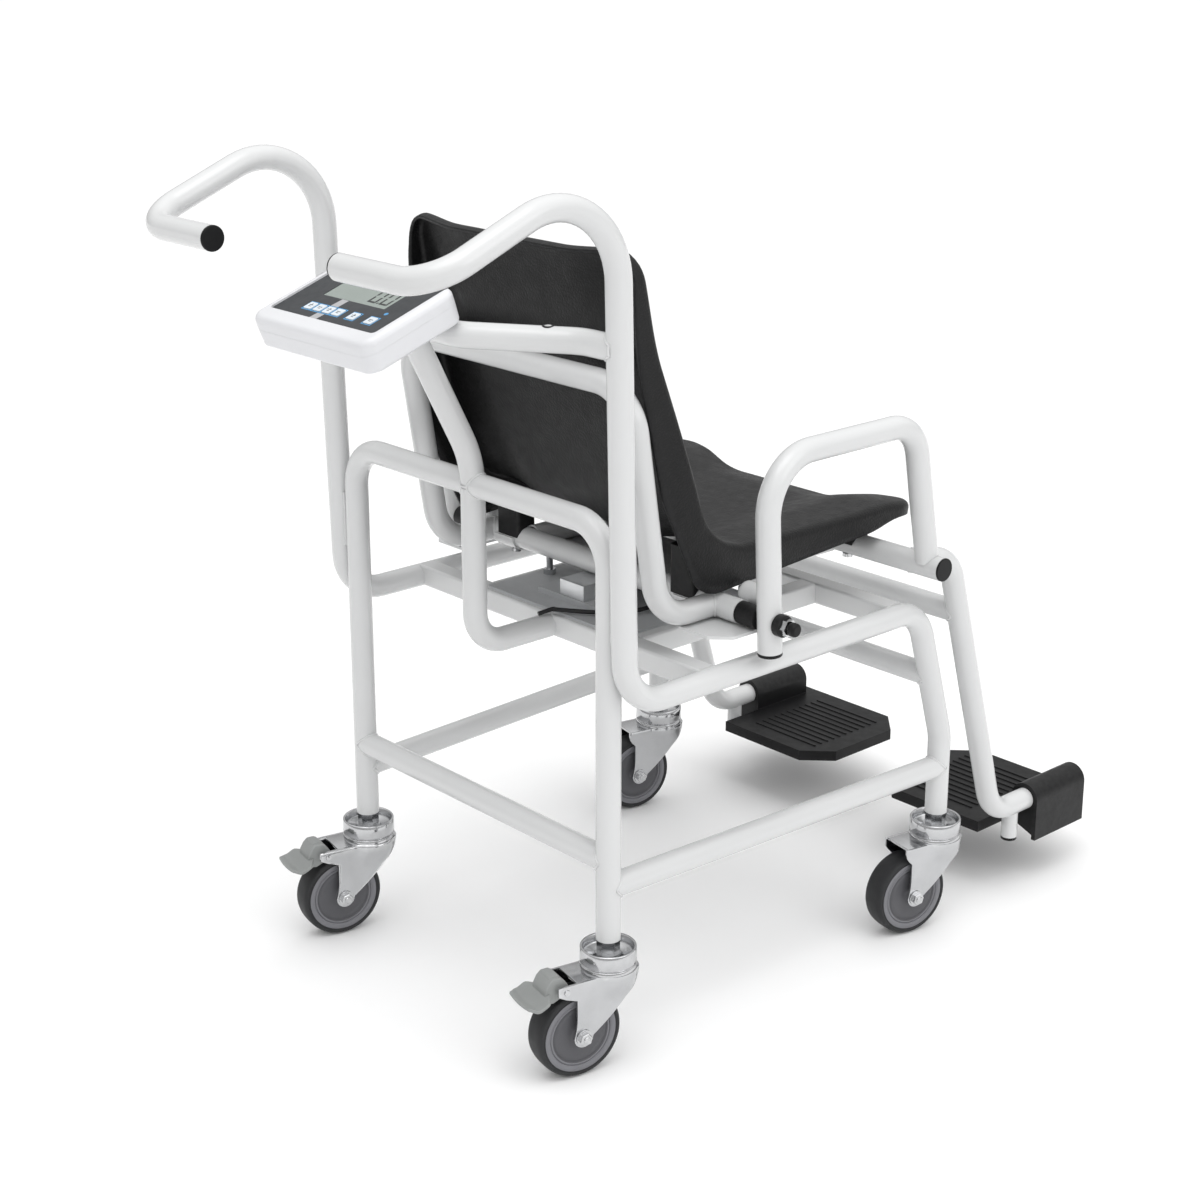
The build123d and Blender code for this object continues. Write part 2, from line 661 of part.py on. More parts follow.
# ---------------------------------------------------------------- footplates
SLEEVE_R = 19.5
with BuildPart() as footplate:
    # tread
    with BuildSketch(Plane.XY.offset(75)):
        with BuildLine():
            Polyline(
                (240, -548), (82, -548), (47, -513), (47, -400), (82, -365), (222, -365), (222, -432),
                (240, -432), close=True
            )
        make_face()
    extrude(amount=14)
    with BuildSketch(Plane.XY.offset(75)):
        with BuildLine():
            Polyline(
                (232, -544), (84, -544), (51, -511), (51, -402), (84, -369), (218, -369), (218, -436),
                (232, -436), close=True
            )
        make_face()
    extrude(amount=10, mode=Mode.SUBTRACT)
    # grip ribs on the tread
    with BuildSketch(Plane.XY.offset(89)):
        with Locations((134, -456)):
            with GridLocations(0, 12.5, 1, 11):
                SlotOverall(112, 3.2)
    extrude(amount=1.3)
    # hood over the hinge sleeve, its outer wall reaching down past the tread
    with BuildSketch(Plane.XZ.offset(431)):
        with BuildLine():
            Polyline((FRAME_X + SLEEVE_R, HANGER_Z), (FRAME_X + SLEEVE_R, 56), (FRAME_X + 14, 56),
                     (FRAME_X + 14, 62), (FRAME_X - SLEEVE_R, 75), (FRAME_X - SLEEVE_R, HANGER_Z), close=True)
        make_face()
        with Locations((FRAME_X, HANGER_Z)):
            Circle(SLEEVE_R)
    extrude(amount=100)
    with BuildSketch(Plane.XZ.offset(435)):
        with BuildLine():
            Polyline((FRAME_X + 15, 90), (FRAME_X + 15, 50), (FRAME_X - 15.5, 50), (FRAME_X - 15.5, 90),
                     close=True)
        make_face()
    extrude(amount=92, mode=Mode.SUBTRACT)
    with BuildSketch(Plane.XZ.offset(428)):
        with Locations((FRAME_X, HANGER_Z)):
            Circle(TUBE_R + FIT)
    extrude(amount=100, mode=Mode.SUBTRACT)
save(footplate.part, "footplate_left")
save(mirror(footplate.part, about=Plane.YZ), "footplate_right")

# ---------------------------------------------------------------- casters
AXLE_Z = WHEEL_R
PEDAL_Y = 62.0
PEDAL_Z = 108.0
CASTERS = {
    "front_left": (FRAME_X, -STEM_Y, 12.0),
    "front_right": (-FRAME_X, -STEM_Y, 12.0),
    "rear_left": (HOOP_X, STEM_Y, 12.0),
    "rear_right": (-HOOP_X, STEM_Y, 12.0),
}


def placed(piece, name):
    """Turn a caster piece about its stem and move it under its leg."""
    x, y, swivel = CASTERS[name]
    return piece.rotate(Axis.Z, -swivel).translate((x, y, 0))


def caster_fork(braked):
    """Pressed fork: open cup and raceway ring round the stem, crown plate, two cheeks, and its axle bolt."""
    end = 72.0 if braked else 58.0
    with BuildPart() as fork:
        # cheeks
        with BuildSketch(Plane.YZ.offset(CHEEK_IN)):
            with BuildLine():
                Polyline(
                    (-20, 115), (-24, 104), (-15, 78), (4, 62), (28, 41), (36, 35), (46, 34), (55, 41),
                    (57, 52), (52, 72), (48, 92), (52, 98), (end - 6, 100), (end, 105), (end, 113),
                    (end - 3, 115), close=True
                )
            make_face()
        extrude(amount=CHEEK_OUT - CHEEK_IN)
        mirror(about=Plane.YZ)
        # crown plate and the boss under the cup
        add(block((-CHEEK_IN, -20, 112), (CHEEK_IN, 49 if braked else end, 115)))
        with BuildSketch(Plane.XY.offset(108)):
            Circle(30.5)
            Circle(24, mode=Mode.SUBTRACT)
        extrude(amount=7)
        with BuildSketch(Plane.XY.offset(115)):
            Circle(30.5)
        extrude(amount=4.5)
        with BuildSketch(Plane.XY.offset(119)):
            Circle(28.5)
        extrude(amount=8)
        with BuildSketch(Plane.XY.offset(121)):
            Circle(30.5)
            Circle(27.5, mode=Mode.SUBTRACT)
        extrude(amount=17)
        fillet(fork.edges().filter_by(GeomType.CIRCLE).group_by(Axis.Z)[-1], radius=1.0)
        # curved nose in front of the stem
        with BuildSketch(Plane.XY.offset(84)):
            Circle(29.5)
            Circle(27.2, mode=Mode.SUBTRACT)
            with Locations((0, 30)):
                Rectangle(80, 50, mode=Mode.SUBTRACT)
        extrude(amount=37)
        # slant the lower edge of the nose
        with BuildSketch(Plane.YZ.offset(-40)):
            with BuildLine():
                Polyline((-40, 108), (-22, 84), (-22, 60), (-40, 60), close=True)
            make_face()
        extrude(amount=80, mode=Mode.SUBTRACT)
        # holes for the stem, axle and pedal pivot
        with BuildSketch(Plane.XY.offset(100)):
            Circle(STEM_R + FIT)
        extrude(amount=40, mode=Mode.SUBTRACT)
        with BuildSketch(Plane.YZ.offset(-30)):
            with Locations((TRAIL, AXLE_Z)):
                Circle(AXLE_R + 0.1)
            if braked:
                with Locations((PEDAL_Y, PEDAL_Z)):
                    Circle(2.6)
        extrude(amount=60, mode=Mode.SUBTRACT)
    axle = pin((-27, TRAIL, AXLE_Z), (27, TRAIL, AXLE_Z), AXLE_R)
    with BuildPart() as nuts:
        for x in (CHEEK_OUT + 0.1, -CHEEK_OUT - 5.6):
            with BuildSketch(Plane.YZ.offset(x)):
                with Locations((TRAIL, AXLE_Z)):
                    RegularPolygon(7.5, 6)
                    Circle(AXLE_R + 0.05, mode=Mode.SUBTRACT)
            extrude(amount=5.5)
    pieces = [fork.part, axle, nuts.part]
    if braked:
        pieces.append(pin((-CHEEK_OUT - 1, PEDAL_Y, PEDAL_Z), (CHEEK_OUT + 1, PEDAL_Y, PEDAL_Z), 2.5))
    return group(*pieces)


def caster_core():
    """Wheel centre: hub running on the axle, web and rim."""
    with BuildPart() as core:
        with BuildSketch(Plane.XY):
            with BuildLine():
                Polyline(
                    (AXLE_R + FIT, 17.8), (9.5, 17.8), (12, 7), (29, 7), (32, 14), (35.95, 14),
                    (35.95, -14), (32, -14), (29, -7), (12, -7), (9.5, -17.8), (AXLE_R + FIT, -17.8),
                    close=True
                )
            make_face()
        revolve(axis=Axis.Y)
    return core.part.rotate(Axis.Z, 90).translate((0, TRAIL, AXLE_Z))


def caster_tyre():
    """Tyre ring with rounded shoulders."""
    with BuildPart() as tyre:
        with BuildSketch(Plane.XY):
            with Locations((43, 0)):
                Rectangle(14, WHEEL_W)
        revolve(axis=Axis.Y)
        fillet(tyre.edges().filter_by(GeomType.CIRCLE).sort_by(SortBy.RADIUS)[-2:], radius=6)
    return tyre.part.rotate(Axis.Z, 90).translate((0, TRAIL, AXLE_Z))


def caster_mount():
    """Stem assembly fixed in the leg: plug, hex collar, washer, stem and its riveted head."""
    with BuildPart() as mount:
        with BuildSketch(Plane.XY.offset(106)):
            Circle(9.5)
        extrude(amount=5.9)
        with BuildSketch(Plane.XY.offset(110)):
            Circle(STEM_R)
        extrude(amount=25)
        with BuildSketch(Plane.XY.offset(127.1)):
            Circle(14)
        extrude(amount=3.9)
        with BuildSketch(Plane.XY.offset(131)):
            RegularPolygon(12.5, 6)
        extrude(amount=LEG_BOTTOM - 131 - SEAM)
        with BuildSketch(Plane.XY.offset(145)):
            Circle(TUBE_R - WALL - 0.05)
        extrude(amount=30)
    return mount.part


def brake_pedal():
    """Foot pedal: hub between the cheeks, wide tread outside them, cam face over the tyre."""
    with BuildPart() as pedal:
        with BuildSketch(Plane.YZ.offset(-CHEEK_IN + 0.6)):
            with BuildLine():
                Polyline(
                    (54, 103), (57, 100.5), (75, 93), (92, 91), (92, 112), (84, 124), (68, 124), (60, 116),
                    (54, 112),
                    close=True
                )
            make_face()
            with Locations((PEDAL_Y, PEDAL_Z)):
                Circle(2.55, mode=Mode.SUBTRACT)
        extrude(amount=2 * CHEEK_IN - 1.2)
        with BuildSketch(Plane.YZ.offset(-23)):
            with BuildLine():
                Polyline(
                    (77, 93.5), (92, 91), (106, 96), (112, 104), (111, 107), (104, 102), (96, 102),
                    (88, 106), (77, 116), close=True
                )
            make_face()
        extrude(amount=46)
        fillet(pedal.edges().filter_by(Axis.X).group_by(Axis.Y)[-1], radius=2)
    return pedal.part


save(group(*[placed(caster_mount(), name) for name in CASTERS]), "caster_mounts")
for name in CASTERS:
    save(placed(caster_fork(name.startswith("rear")), name), f"fork_{name}")
    save(placed(caster_core(), name), f"wheel_core_{name}")
    save(placed(caster_tyre(), name), f"tyre_{name}")
    if name.startswith("rear"):
        save(placed(brake_pedal(), name), f"brake_pedal_{name[5:]}")
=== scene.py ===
import json
import math

import bmesh
import bpy
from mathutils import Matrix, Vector


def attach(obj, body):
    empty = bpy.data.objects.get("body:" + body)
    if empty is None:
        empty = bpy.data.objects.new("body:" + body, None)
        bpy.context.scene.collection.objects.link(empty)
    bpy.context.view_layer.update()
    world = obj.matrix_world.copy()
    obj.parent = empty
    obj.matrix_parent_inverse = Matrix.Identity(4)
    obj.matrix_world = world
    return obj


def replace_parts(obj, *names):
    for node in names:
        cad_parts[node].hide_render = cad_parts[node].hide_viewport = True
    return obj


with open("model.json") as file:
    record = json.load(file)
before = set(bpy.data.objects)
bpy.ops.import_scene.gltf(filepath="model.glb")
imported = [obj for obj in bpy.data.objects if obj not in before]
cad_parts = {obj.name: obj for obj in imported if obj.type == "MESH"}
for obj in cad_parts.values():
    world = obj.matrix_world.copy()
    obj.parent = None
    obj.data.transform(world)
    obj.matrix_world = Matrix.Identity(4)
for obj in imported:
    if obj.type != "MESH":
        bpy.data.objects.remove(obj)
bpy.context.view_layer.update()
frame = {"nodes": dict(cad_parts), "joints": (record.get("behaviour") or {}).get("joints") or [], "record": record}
nodes = frame["nodes"]
joints = {j["name"]: j for j in frame["joints"]}
scene = bpy.context.scene
MM = 0.001
UP = (0, 0, 1)
ALONG_X = (1, 0, 0)
SIDES = (-1, 1)
CORNERS = ("front_left", "front_right", "rear_left", "rear_right")
# sizes below are laid out in millimetres from the floor point midway between the caster stems
stems = [Vector(joints[f"caster_{corner}_swivel"]["pos_m"]) for corner in CORNERS]
LAYOUT = Vector((0, sum(p.y for p in stems) / len(stems), 0))


# ---------------------------------------------------------------- materials
def map_range(tree, value, start, stop, low, high):
    node = tree.nodes.new("ShaderNodeMapRange")
    node.inputs["From Min"].default_value = start
    node.inputs["From Max"].default_value = stop
    node.inputs["To Min"].default_value = low
    node.inputs["To Max"].default_value = high
    tree.links.new(value, node.inputs["Value"])
    return node.outputs["Result"]


NOISE_SPAN = (0.3, 0.7)  # the part of the noise that is stretched over the wanted range
EDGE_SPAN = (0.52, 0.62)  # the pointiness that counts as an edge
EDGE_PATCH = 6.0
COAT_ROUGH = 0.12


def material(name, base, rough, grain, bump, metal=0.0, coat=0.0, shine=0.5, spread=0.05, rough_spread=0.06,
             blotch=40.0, edge=None, edge_amount=0.5, bevel=0.0, pebbles=None):
    """Procedural surface, its sizes in millimetres.

    grain and blotch are the sizes of the fine and the slow noise, bump is the height of the grain, and spread
    is how far the colour varies. edge is the colour of rubbed edges, and pebbles is (height, size) of a
    moulded texture.
    """
    made = bpy.data.materials.new(name)
    made.use_nodes = True
    tree = made.node_tree
    new, link = tree.nodes.new, tree.links.new
    shader = tree.nodes["Principled BSDF"]
    place = new("ShaderNodeTexCoord")

    def noise(size, detail=4.0):
        node = new("ShaderNodeTexNoise")
        node.inputs["Scale"].default_value = 1.0 / (size * MM)
        node.inputs["Detail"].default_value = detail
        node.inputs["Roughness"].default_value = 0.55
        link(place.outputs["Object"], node.inputs["Vector"])
        return node.outputs["Fac"]

    def span(value, low, high):
        return map_range(tree, value, *NOISE_SPAN, low, high)

    def mixed(factor, over, mode="MIX"):
        """Mix node that lays a colour over its still open input A."""
        node = new("ShaderNodeMix")
        node.data_type = "RGBA"
        node.blend_type = mode
        node.inputs["B"].default_value = (*over, 1)
        link(factor, node.inputs["Factor"])
        return node

    def relief(height, size):
        node = new("ShaderNodeBump")
        node.inputs["Distance"].default_value = size * MM
        link(height, node.inputs["Height"])
        return node

    # colour: slow blotches, fine speckle, rubbed edges
    blotches = mixed(span(noise(blotch, 3.0), 0.0, 1.0), [min(1.0, c * (1 + spread)) for c in base])
    blotches.inputs["A"].default_value = (*[c * (1 - spread) for c in base], 1)
    speckle = mixed(span(noise(grain * 3), 0.0, 0.6), [1 - spread] * 3, "MULTIPLY")
    link(blotches.outputs["Result"], speckle.inputs["A"])
    colour = speckle.outputs["Result"]
    if edge:
        pointed = new("ShaderNodeNewGeometry").outputs["Pointiness"]
        patchy = new("ShaderNodeMath")
        patchy.operation = "MULTIPLY"
        link(map_range(tree, pointed, *EDGE_SPAN, 0.0, edge_amount), patchy.inputs[0])
        link(span(noise(EDGE_PATCH), 0.2, 1.0), patchy.inputs[1])
        rubbed = mixed(patchy.outputs["Value"], edge)
        link(colour, rubbed.inputs["A"])
        colour = rubbed.outputs["Result"]
    link(colour, shader.inputs["Base Color"])
    uneven = span(noise(blotch * 0.35, 5.0), rough - rough_spread, rough + rough_spread)
    link(uneven, shader.inputs["Roughness"])
    shader.inputs["Metallic"].default_value = metal
    shader.inputs["Specular IOR Level"].default_value = shine
    shader.inputs["Coat Weight"].default_value = coat
    shader.inputs["Coat Roughness"].default_value = COAT_ROUGH

    # relief: rounded edges, then fine grain, then pebbles
    fine = relief(noise(grain, 2.0), bump)
    normal = fine.outputs["Normal"]
    if bevel:
        rounded = new("ShaderNodeBevel")
        rounded.samples = 8
        rounded.inputs["Radius"].default_value = bevel * MM
        link(rounded.outputs["Normal"], fine.inputs["Normal"])
    if pebbles:
        pebble_height, pebble_size = pebbles
        cells = new("ShaderNodeTexVoronoi")
        cells.feature = "SMOOTH_F1"
        cells.inputs["Scale"].default_value = 1.0 / (pebble_size * MM)
        cells.inputs["Smoothness"].default_value = 0.35
        link(place.outputs["Object"], cells.inputs["Vector"])
        stones = relief(cells.outputs["Distance"], pebble_height)
        stones.invert = True
        link(normal, stones.inputs["Normal"])
        normal = stones.outputs["Normal"]
    link(normal, shader.inputs["Normal"])
    return made


# one material for each material slot of the record
MATERIALS = {
    "white_frame": material("powder_coat", (0.625, 0.63, 0.632), 0.24, grain=1.6, bump=0.003, coat=0.4,
                            spread=0.008, rough_spread=0.02, blotch=120),
    "grey_plate": material("plate_paint", (0.42, 0.43, 0.44), 0.42, grain=1.4, bump=0.01,
                           edge=(0.7, 0.7, 0.7)),
    "load_cell_alloy": material("milled_alloy", (0.72, 0.73, 0.74), 0.34, grain=0.6, bump=0.004, metal=1.0),
    "zinc": material("bright_zinc", (0.52, 0.525, 0.535), 0.16, grain=2.2, bump=0.002, metal=1.0,
                     edge=(0.80, 0.80, 0.80), edge_amount=0.4, rough_spread=0.04, blotch=30),
    "black_rubber": material("cable_rubber", (0.012, 0.012, 0.013), 0.5, grain=0.7, bump=0.01, shine=0.3),
    "display_white": material("case_white", (0.70, 0.705, 0.725), 0.33, grain=0.5, bump=0.006, coat=0.15,
                              spread=0.008, rough_spread=0.03, bevel=0.8),
    "foil_grey": material("foil_grey", (0.030, 0.033, 0.037), 0.42, grain=0.35, bump=0.004, spread=0.06,
                          shine=0.35),
    "lcd_glass": material("lcd_glass", (0.25, 0.29, 0.265), 0.16, grain=0.4, bump=0.001, coat=0.3,
                          spread=0.03),
    "board_green": material("board_green", (0.02, 0.16, 0.06), 0.4, grain=0.6, bump=0.01),
    "battery": material("battery_wrap", (0.03, 0.03, 0.035), 0.35, grain=0.8, bump=0.01),
    "seat_black": material("seat_moulding", (0.006, 0.006, 0.0063), 0.46, grain=0.5, bump=0.02, shine=0.27,
                           spread=0.15, edge=(0.03, 0.03, 0.032), edge_amount=0.4, pebbles=(0.34, 2.3)),
    "black_plastic": material("black_moulding", (0.0055, 0.0055, 0.006), 0.42, grain=0.6, bump=0.015,
                              shine=0.22, spread=0.12, edge=(0.03, 0.03, 0.03), edge_amount=0.4, bevel=1.0),
    "wheel_grey": material("wheel_centre", (0.092, 0.092, 0.100), 0.42, grain=0.7, bump=0.008, shine=0.35),
    "tyre_grey": material("tyre_rubber", (0.024, 0.0245, 0.026), 0.55, grain=0.7, bump=0.02, shine=0.3,
                          spread=0.12, edge=(0.06, 0.06, 0.06), edge_amount=0.3),
    "pedal_grey": material("pedal_grey", (0.27, 0.28, 0.275), 0.5, grain=0.6, bump=0.012, spread=0.04,
                           edge=(0.42, 0.42, 0.42), edge_amount=0.3, rough_spread=0.04),
    "key_white": material("key_white", (0.66, 0.71, 0.75), 0.4, grain=0.3, bump=0.004, spread=0.03),
}
RING_GREY = material("wheel_ring", (0.185, 0.185, 0.20), 0.40, grain=0.7, bump=0.008, spread=0.04, shine=0.35)
KEY_BLUE = material("key_blue", (0.07, 0.30, 0.58), 0.4, grain=0.3, bump=0.002)
BAND_SILVER = material("band_silver", (0.42, 0.42, 0.43), 0.38, grain=0.3, bump=0.002)
INK = material("segment_ink", (0.018, 0.020, 0.020), 0.35, grain=0.3, bump=0.001)
FLOOR = material("studio_floor", (0.95, 0.95, 0.95), 0.75, grain=4.0, bump=0.005, spread=0.003, blotch=900,
                 shine=0.15)

for entry in frame["record"]["subparts"]:
    slots = nodes[entry["node"]].data.materials
    slots.clear()
    slots.append(MATERIALS[entry["material_slot"]])


# ---------------------------------------------------------------- mesh helpers
def laid_out(shape):
    """A shape in layout millimetres, moved into the frame's metres."""
    points, faces = shape
    return [Vector(p) * MM + LAYOUT for p in points], faces


def face_outward(mesh):
    mesh.validate()
    work = bmesh.new()
    work.from_mesh(mesh)
    bmesh.ops.recalc_face_normals(work, faces=work.faces)
    work.to_mesh(mesh)
    work.free()


def add_mesh(name, shape, body, slot, paints=(), smooth=True, closed=True):
    """A piece that rides on a body.

    shape is (points in metres, faces). paints replace the slot's own material, and closed turns the faces
    outward.
    """
    points, faces = shape
    mesh = bpy.data.meshes.new(name)
    mesh.from_pydata(points, [], faces)
    if closed:
        face_outward(mesh)
    mesh.polygons.foreach_set("use_smooth", [smooth] * len(mesh.polygons))
    for paint in paints or [MATERIALS[slot]]:
        mesh.materials.append(paint)
    obj = bpy.data.objects.new(name, mesh)
    scene.collection.objects.link(obj)
    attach(obj, body)
    return obj


def thicken(obj, thickness, offset=0.0):
    wall = obj.modifiers.new("wall", "SOLIDIFY")
    wall.thickness = thickness * MM
    wall.offset = offset


def soften(obj, width, segments=3, angle=30):
    edge = obj.modifiers.new("edge", "BEVEL")
    edge.width = width * MM
    edge.segments = segments
    edge.limit_method = "ANGLE"
    edge.angle_limit = math.radians(angle)


def join_lists(parts):
    verts, faces = [], []
    for v, f in parts:
        base = len(verts)
        verts.extend(v)
        faces.extend(tuple(base + i for i in face) for face in f)
    return verts, faces


def grid_faces(rows, cols, flipped=False):
    """Faces over (rows + 1) x (cols + 1) points listed row by row."""
    wide = cols + 1
    faces = []
    for r in range(rows):
        for k in range(cols):
            i = r * wide + k
            face = (i, i + 1, i + wide + 1, i + wide)
            faces.append((i + 1, i, i + wide, i + wide + 1) if flipped else face)
    return faces


def prism(near, far):
    """Points and faces of the solid between two outlines of equal length."""
    many = len(near)
    faces = [tuple(range(many)), tuple(range(2 * many - 1, many - 1, -1))]
    faces += [(k, (k + 1) % many, many + (k + 1) % many, many + k) for k in range(many)]
    return near + far, faces


def turned(loop, centre, axis, turns=96, guide=None):
    """Points (metres) and faces of a closed (radius, offset) loop spun round an axis through centre."""
    axis = Vector(axis).normalized()
    guide = guide or ((0.1, 0.2, 0.97) if abs(axis.z) < 0.9 else ALONG_X)
    e1 = axis.cross(Vector(guide)).normalized()
    e2 = axis.cross(e1)
    points, faces = [], []
    for k in range(turns):
        a = 2 * math.pi * k / turns
        spoke = e1 * math.cos(a) + e2 * math.sin(a)
        points += [Vector(centre) + (spoke * r + axis * o) * MM for r, o in loop]
    many = len(loop)
    for k in range(turns):
        n = (k + 1) % turns
        for c in range(many):
            e = (c + 1) % many
            faces.append((k * many + c, n * many + c, n * many + e, k * many + e))
    return points, faces


def smooth_step(t):
    t = max(0.0, min(1.0, t))
    return t * t * (3 - 2 * t)


# ---------------------------------------------------------------- weld beads round the coped tube ends
TUBE_R = 13.45
BEAD_R = 1.5
BEAD_OUT = 0.3
BEAD_SIDES = 10
COPE_POINTS = 72
HOOP_X = 215
FRAME_X = 242
STEM_Y = 254
STRETCHER_Z = 205.3
HOOP_TOP = 600.7
BOW_Z = 788.6
FRAME_LEAN = 0.0244  # the side frame's upright leans back by this much in y for each unit of z
SEAM_R = 1.6
SEAM_LEVELS = range(480, 545, 4)


def bead(points, radius, closed):
    """Points and faces of a round bead along a path."""
    verts, faces = [], []
    count = len(points)
    for i, p in enumerate(points):
        ahead = points[(i + 1) % count] if closed or i < count - 1 else p
        behind = points[i - 1] if closed or i > 0 else p
        along = (ahead - behind).normalized()
        side = along.cross(Vector((0.31, 0.57, 0.76))).normalized()
        up = along.cross(side)
        for k in range(BEAD_SIDES):
            a = 2 * math.pi * k / BEAD_SIDES
            verts.append(p + side * radius * math.cos(a) + up * radius * math.sin(a))
    for i in range(count if closed else count - 1):
        j = (i + 1) % count
        for k in range(BEAD_SIDES):
            n = (k + 1) % BEAD_SIDES
            faces.append((i * BEAD_SIDES + k, i * BEAD_SIDES + n, j * BEAD_SIDES + n, j * BEAD_SIDES + k))
    return verts, faces


def cope_bead(point, direction, other_direction, other_point=None):
    """Bead where a tube that leaves point along direction meets the surface of another tube."""
    along = Vector(direction).normalized()
    other = Vector(other_direction).normalized()
    other_point = Vector(other_point or point)
    e1 = along.cross(Vector((0.2, 0.3, 0.9))).normalized()
    e2 = along.cross(e1)
    run = along - other * along.dot(other)
    ring = []
    for k in range(COPE_POINTS):
        a = 2 * math.pi * k / COPE_POINTS
        start = Vector(point) + e1 * TUBE_R * math.cos(a) + e2 * TUBE_R * math.sin(a)
        off = start - other_point
        off = off - other * off.dot(other)
        # where the line from start along the first tube leaves the second tube
        aa, bb, cc = run.dot(run), 2 * off.dot(run), off.dot(off) - TUBE_R**2
        root = math.sqrt(max(0.0, bb * bb - 4 * aa * cc))
        ring.append(start + along * ((-bb + root) / (2 * aa) + BEAD_OUT))
    return bead(ring, BEAD_R, True)


def weld_beads():
    beads = []
    for s in SIDES:
        inward = (-s, 0, 0)
        hoop_leg = Vector((s * HOOP_X, STEM_Y, STRETCHER_Z))
        frame_leg = Vector((s * FRAME_X, -STEM_Y, STRETCHER_Z))
        frame_slope = (0, 52, 169.9)
        hanger_slope = (0, 0.299, 1)
        upright = (0, FRAME_LEAN, 1)
        beads += [
            # rear and side stretchers, front cross tube, hanger cross tube
            cope_bead((s * HOOP_X, STEM_Y, 235.5), inward, UP),
            cope_bead(hoop_leg, frame_leg - hoop_leg, UP),
            cope_bead(frame_leg, hoop_leg - frame_leg, UP),
            cope_bead((s * FRAME_X, -228.8, 327), inward, frame_slope),
            cope_bead((s * FRAME_X, -276.9, 394), inward, hanger_slope),
            # display bow, footrest hanger, backrest loop
            cope_bead((s * FRAME_X, 266, BOW_Z), inward, upright, (s * FRAME_X, 264.7, BOW_Z)),
            cope_bead((s * FRAME_X, -185, 478), (0, -70.4, -12), ALONG_X),
            cope_bead((s * 186.3, 72.5, 472), (0, 1, 0), ALONG_X),
        ]
    # display post at the hoop, below and above it, and at the bow
    hoop_top = (0, STEM_Y, HOOP_TOP)
    beads += [
        cope_bead((0, 255, HOOP_TOP), (0, 0, -1), ALONG_X, hoop_top),
        cope_bead((0, 255, HOOP_TOP), (0, 0.05, 1), ALONG_X, hoop_top),
        cope_bead((0, 337, 787), (0, -78, -151.6), ALONG_X, (0, 338, BOW_Z)),
    ]
    # long beads where each hoop leg lies against its side frame
    seam_x = (HOOP_X + FRAME_X) / 2
    for s in SIDES:
        for y in SIDES:
            line = []
            for z in SEAM_LEVELS:
                between = 256.5 + FRAME_LEAN * (z - 470) * 0.5
                line.append(Vector((s * seam_x, between + y * 5.2, z)))
            beads.append(bead(line, SEAM_R, False))
    return join_lists(beads)


add_mesh("weld_beads", laid_out(weld_beads()), "base_frame", "white_frame")


# ---------------------------------------------------------------- seat shell
def rounded_line(points, radii, step=4.0):
    """Dense points along a polyline in the side plane with rounded corners."""
    pts = [Vector(p) for p in points]
    out = [pts[0]]
    for a, b, c, radius in zip(pts, pts[1:], pts[2:], radii):
        u, v = (a - b).normalized(), (c - b).normalized()
        half = math.acos(max(-1, min(1, u.dot(v)))) / 2
        cut = radius / math.tan(half)
        start, end = b + u * cut, b + v * cut
        middle = b + (u + v).normalized() * (radius / math.sin(half))
        p, q = start - middle, end - middle
        sweep = math.acos(max(-1, min(1, p.normalized().dot(q.normalized()))))
        turns = max(2, int(radius * sweep / step))
        for k in range(turns + 1):
            t = k / turns
            out.append(middle + (p * math.sin((1 - t) * sweep) + q * math.sin(t * sweep)) / math.sin(sweep))
    out.append(pts[-1])
    dense = [out[0]]
    for p in out[1:]:
        last = dense[-1]
        many = max(1, int((p - last).length / step))
        dense += [last.lerp(p, k / many) for k in range(1, many + 1)]
    return dense


SEAT_HALF = 200.0
SEAT_ROLL = 9.0
SEAT_CORNER = 26.0
SEAT_WALL = 3.6
INNER_HALF = SEAT_HALF - SEAT_ROLL
COLS, ROWS = 56, 96
ROLL_STEPS = 6
SKIRT_STEPS = 4
BACK_START = 560  # height at which the pan gives way to the back
# the seat's face, and the lower and rear edge of its turned-down rim, in the side plane
FACE_LINE = rounded_line([(-228, 523), (-185, 532), (86.4, 534), (192.0, 857)], [140, 75])
RIM_LINE = rounded_line(
    [(-262, 508), (-240, 509), (-120, 502), (108, 487), (164, 607), (209, 850), (214, 900)],
    [30, 60, 40, 60, 60],
)
ARC = [0.0]
for behind, ahead in zip(FACE_LINE, FACE_LINE[1:]):
    ARC.append(ARC[-1] + (ahead - behind).length)
LENGTH = ARC[-1]


def on_seat(s):
    """Point, front-facing normal and direction of the seat's face line at arc length s."""
    s = max(0.0, min(LENGTH, s))
    i = max(1, next((k for k, a in enumerate(ARC) if a >= s), len(ARC) - 1))
    t = (s - ARC[i - 1]) / max(1e-9, ARC[i] - ARC[i - 1])
    p = FACE_LINE[i - 1].lerp(FACE_LINE[i], t)
    d = (FACE_LINE[min(len(FACE_LINE) - 1, i + 2)] - FACE_LINE[max(0, i - 3)]).normalized()
    return p, Vector((-d.y, d.x)), d


def rim_depth(s):
    """How far the turned rim reaches behind the seat's face, by a ray from the face to the rim line."""
    p, n, _ = on_seat(s)
    best = 60.0
    for a, b in zip(RIM_LINE, RIM_LINE[1:]):
        e = b - a
        cross = -n.x * e.y + n.y * e.x
        if abs(cross) < 1e-9:
            continue
        w = a - p
        t = (w.x * e.y - w.y * e.x) / cross
        k = (w.x * -n.y + n.x * w.y) / cross
        if 0 < t < best and -0.02 <= k <= 1.02:
            best = t
    # the rim thins to 6 mm at the front edge and at the top
    full = smooth_step(s / 70) * smooth_step((LENGTH - s) / 40)
    return max(3.0, (best - SEAT_ROLL) * full + 6.0 * (1 - full))


